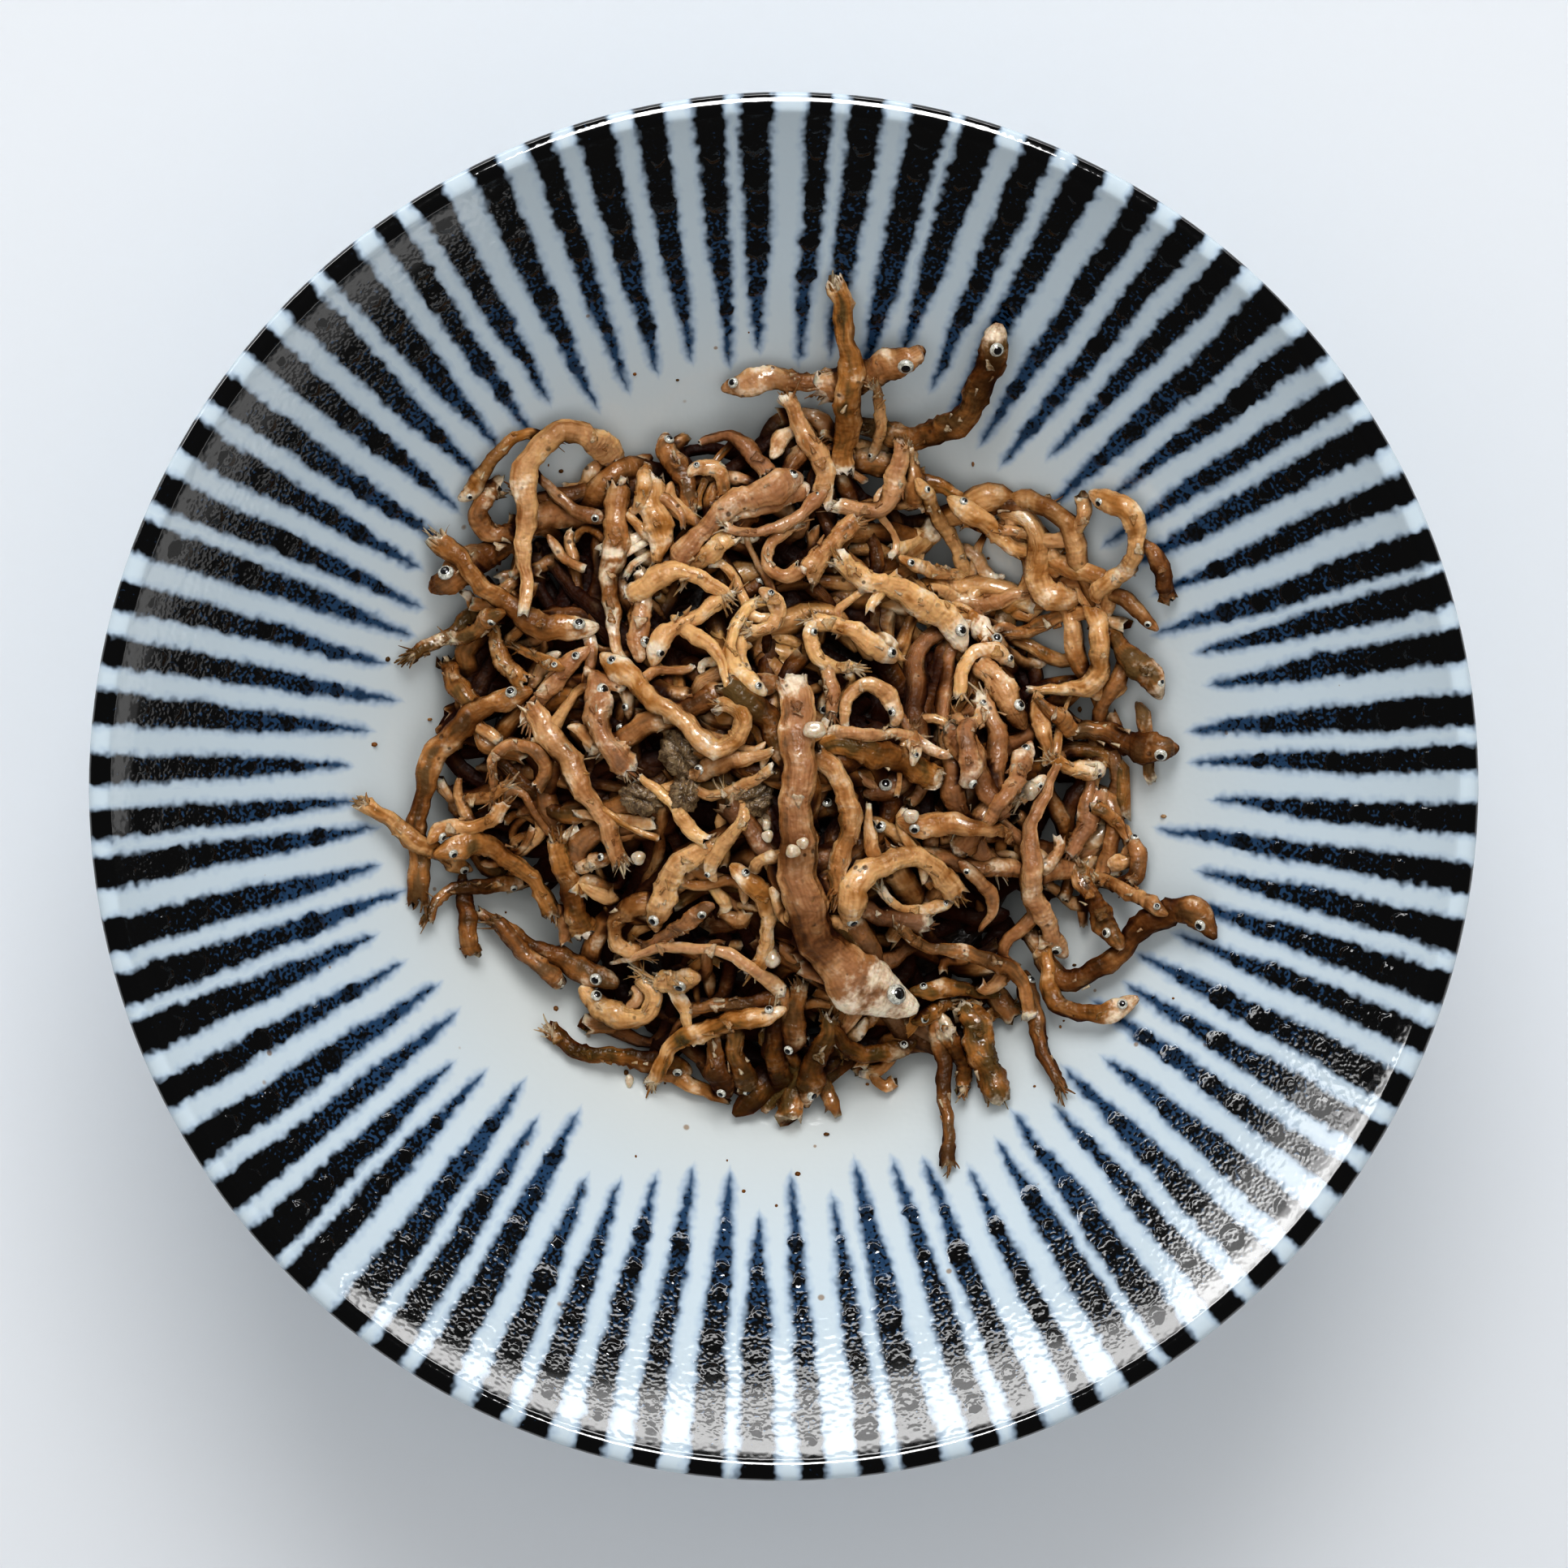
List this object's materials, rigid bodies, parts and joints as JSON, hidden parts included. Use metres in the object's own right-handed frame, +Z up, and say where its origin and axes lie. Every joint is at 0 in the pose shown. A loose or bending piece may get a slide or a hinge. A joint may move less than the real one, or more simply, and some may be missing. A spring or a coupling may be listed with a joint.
{
  "type": "dish of dried baby sardines with sansho",
  "caption": "Heap of sweet-cooked dried baby sardines with sansho husks in a small glazed porcelain dish with dark radial stripes.",
  "frame": {"origin": "under the middle of the foot ring, on the surface that the dish stands on", "axes": "+Z up through the dish and the heap, +Y towards the top of the picture, +X towards its right"},
  "size_m": [0.11, 0.11, 0.032],
  "materials": {
    "glazed_porcelain": "glossy white glaze with dark blue-black radial stripes inside",
    "sardine": "moist amber-brown fish flesh with a thin sweet glaze"
  },
  "bodies": {
    "root": {"dish": "glazed_porcelain", "sardine_heap": "sardine"}
  },
  "joints": []
}
